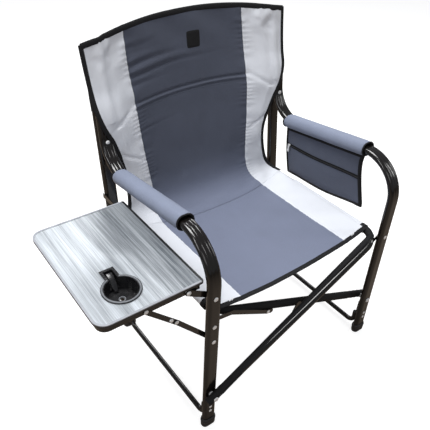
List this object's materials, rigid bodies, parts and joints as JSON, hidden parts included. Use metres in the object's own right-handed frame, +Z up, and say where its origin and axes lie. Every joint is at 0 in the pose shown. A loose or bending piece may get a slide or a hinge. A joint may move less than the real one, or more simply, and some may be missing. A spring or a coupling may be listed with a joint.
{
  "type": "director chair",
  "caption": "Folding director chair with tubular side frames, scissor cross frames, fabric sling seat and back, padded arms, zipped arm pouch and a drop-leaf side table with cup holder.",
  "frame": {"origin": "bottom centre of the whole object's box, on the floor", "axes": "+Z up; the chair faces -Y; +X is the sitter's left, and the side table stands out on -X"},
  "size_m": [0.9276, 0.6014, 0.954],
  "materials": {
    "frame_paint": "gloss black paint",
    "plastic": "moulded black",
    "steel": "bright zinc",
    "slate_fabric": "woven polyester",
    "pale_fabric": "woven polyester, silver grey",
    "black_webbing": "black binding tape and sleeve cloth",
    "arm_fabric": "padded woven polyester",
    "table_panel": "brushed along its length",
    "grey_trim": "satin"
  },
  "bodies": {
    "left_side": {"leg_arm_tube_left": "frame_paint", "back_post_left": "frame_paint", "arm_pad_left": "arm_fabric", "lower_rail_left": "frame_paint", "foot_front_left": "plastic", "foot_rear_left": "plastic", "rail_bracket_front_left": "frame_paint", "rail_bracket_rear_left": "frame_paint", "back_sleeve_left": "black_webbing", "back_sling": "slate_fabric", "table_bracket_front": "frame_paint", "table_bracket_rear": "frame_paint", "table_hinge_rod": "steel", "pivot_pin_front_left": "steel", "pivot_pin_rear_left": "steel", "spacer_front_left": "steel", "spacer_rear_left": "steel", "seat_link_left_pin": "steel", "stay_leg_pin": "steel"},
    "frame_a": {"cross_frame_a_tube": "frame_paint", "seat_sleeve_right": "pale_fabric", "centre_plate_front_a": "frame_paint", "centre_plate_rear_a": "frame_paint", "centre_pin_front": "steel", "centre_pin_rear": "steel", "link_lug_right": "frame_paint"},
    "frame_b": {"cross_frame_b_tube": "frame_paint", "seat_sleeve_left": "pale_fabric", "centre_plate_front_b": "frame_paint", "centre_plate_rear_b": "frame_paint", "link_lug_left": "frame_paint"},
    "right_side": {"leg_arm_tube_right": "frame_paint", "back_post_right": "frame_paint", "arm_pad_right": "arm_fabric", "lower_rail_right": "frame_paint", "foot_front_right": "plastic", "foot_rear_right": "plastic", "rail_bracket_front_right": "frame_paint", "rail_bracket_rear_right": "frame_paint", "back_sleeve_right": "black_webbing", "pivot_pin_front_right": "steel", "pivot_pin_rear_right": "steel", "spacer_front_right": "steel", "seat_link_right_pin": "steel", "pouch": "slate_fabric", "zip_tape": "plastic"},
    "link_left": {"seat_link_left": "frame_paint"},
    "link_right": {"seat_link_right": "frame_paint"},
    "table": {"table_trim": "grey_trim", "table_top": "table_panel", "table_frame": "frame_paint", "cup_holder": "plastic"},
    "stay_leg_half": {"stay_inner": "frame_paint"},
    "stay_table_half": {"stay_outer": "frame_paint"},
    "zip_slider": {"zip_slider": "steel"},
    "seat": {"seat_sling": "slate_fabric"}
  },
  "joints": [
    {"name": "fold", "type": "hinge", "parent": "left_side", "child": "frame_a", "pos_m": [-0.18175, -0.26638, 0.142], "axis": [0, -1, 0], "range_deg": [0, 56.2]},
    {"name": "scissor", "type": "hinge", "parent": "frame_a", "child": "frame_b", "pos_m": [0.12825, -0.26638, 0.2514], "axis": [0, -1, 0], "range_deg": [-112.5, 0]},
    {"name": "right_side_pivot", "type": "hinge", "parent": "frame_b", "child": "right_side", "pos_m": [0.43825, -0.26638, 0.142], "axis": [0, -1, 0], "range_deg": [0, 56.3]},
    {"name": "seat_link_left_pivot", "type": "hinge", "parent": "left_side", "child": "link_left", "pos_m": [-0.18175, -0.26638, 0.398], "axis": [0, -1, 0], "range_deg": [0, 91]},
    {"name": "seat_link_right_pivot", "type": "hinge", "parent": "right_side", "child": "link_right", "pos_m": [0.43825, -0.26638, 0.398], "axis": [0, -1, 0], "range_deg": [-91, 0]},
    {"name": "seat_rise", "type": "slide", "parent": "left_side", "child": "seat", "axis": [-0.5174, 0, 0.8557], "range_m": [0, 0.442], "deforming": ["seat_sling", "back_sling"]},
    {"name": "table_hinge", "type": "hinge", "parent": "left_side", "child": "table", "pos_m": [-0.24375, -0.26638, 0.5285], "axis": [0, -1, 0], "range_deg": [0, 90]},
    {"name": "stay_leg_pivot", "type": "hinge", "parent": "left_side", "child": "stay_leg_half", "pos_m": [-0.18175, -0.26638, 0.346], "axis": [0, -1, 0], "range_deg": [-53.2, 0]},
    {"name": "stay_table_pivot", "type": "hinge", "parent": "table", "child": "stay_table_half", "pos_m": [-0.34975, -0.26638, 0.527], "axis": [0, -1, 0], "range_deg": [-11.1, 0]},
    {"name": "zip_travel", "type": "slide", "parent": "right_side", "child": "zip_slider", "axis": [0, -0.9914, 0.1305], "range_m": [0, 0.29]}
  ],
  "couplings": [
    {"joint": "scissor", "follows": "fold", "ratio": -2},
    {"joint": "right_side_pivot", "follows": "fold", "ratio": 1},
    {"joint": "seat_link_left_pivot", "follows": "fold", "ratio": 1.614},
    {"joint": "seat_link_right_pivot", "follows": "fold", "ratio": -1.614},
    {"joint": "seat_rise", "follows": "fold", "m_per_rad": 0.45013},
    {"joint": "stay_leg_pivot", "follows": "table_hinge", "ratio": -0.5893},
    {"joint": "stay_table_pivot", "follows": "table_hinge", "ratio": -0.1219}
  ]
}
